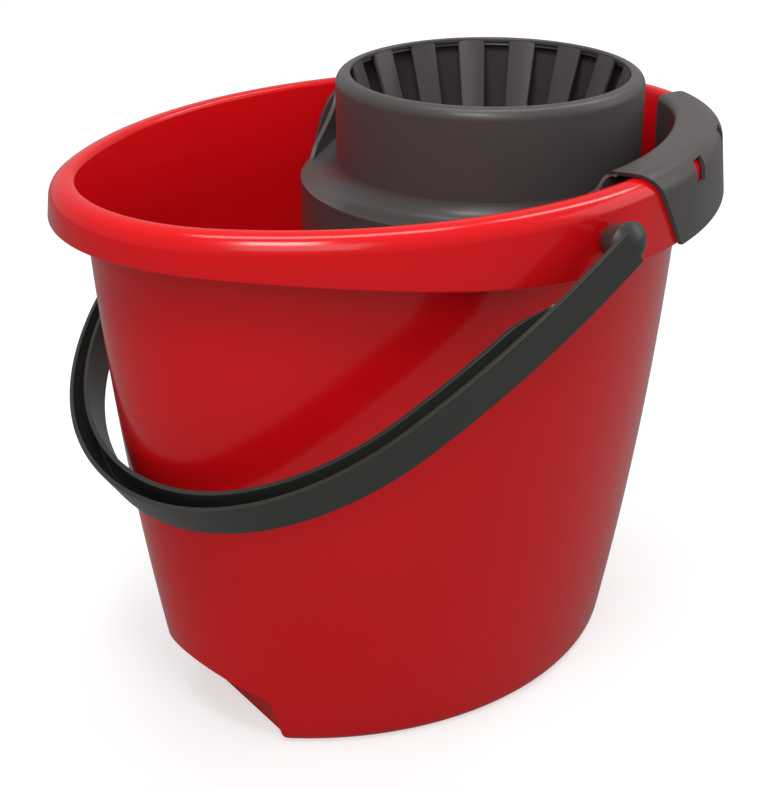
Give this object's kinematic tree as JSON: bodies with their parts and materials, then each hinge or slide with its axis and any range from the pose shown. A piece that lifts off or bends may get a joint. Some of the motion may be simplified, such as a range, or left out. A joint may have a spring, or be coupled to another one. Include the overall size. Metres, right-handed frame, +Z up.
{
  "type": "mop bucket with wringer",
  "caption": "Oval mop bucket with a wavy-edged lip, a swinging channel bail handle, a tipping grip recess and a lift-out wringer with a slatted cone.",
  "frame": {"origin": "centre of the flat foot of the bucket, on the floor", "axes": "+X along the bucket towards its wringer and pouring end, +Y across it, +Z up"},
  "size_m": [0.3781, 0.3156, 0.331],
  "materials": {
    "bucket": "satin gloss moulded polypropylene",
    "handle": "satin moulded polypropylene",
    "wringer": "satin moulded polypropylene"
  },
  "bodies": {
    "bucket": {"bucket": "bucket"},
    "handle": {"bail_handle": "handle"},
    "wringer": {"wringer_collar": "wringer", "sieve_cone": "wringer"}
  },
  "joints": [
    {"name": "handle_swing", "type": "hinge", "parent": "bucket", "child": "handle", "pos_m": [0.0188, 0, 0.2852], "axis": [0, 1, 0], "range_deg": [0, 260]},
    {"name": "wringer_lift", "type": "slide", "parent": "bucket", "child": "wringer", "axis": [0, 0, 1], "range_m": [0, 0.12]}
  ]
}
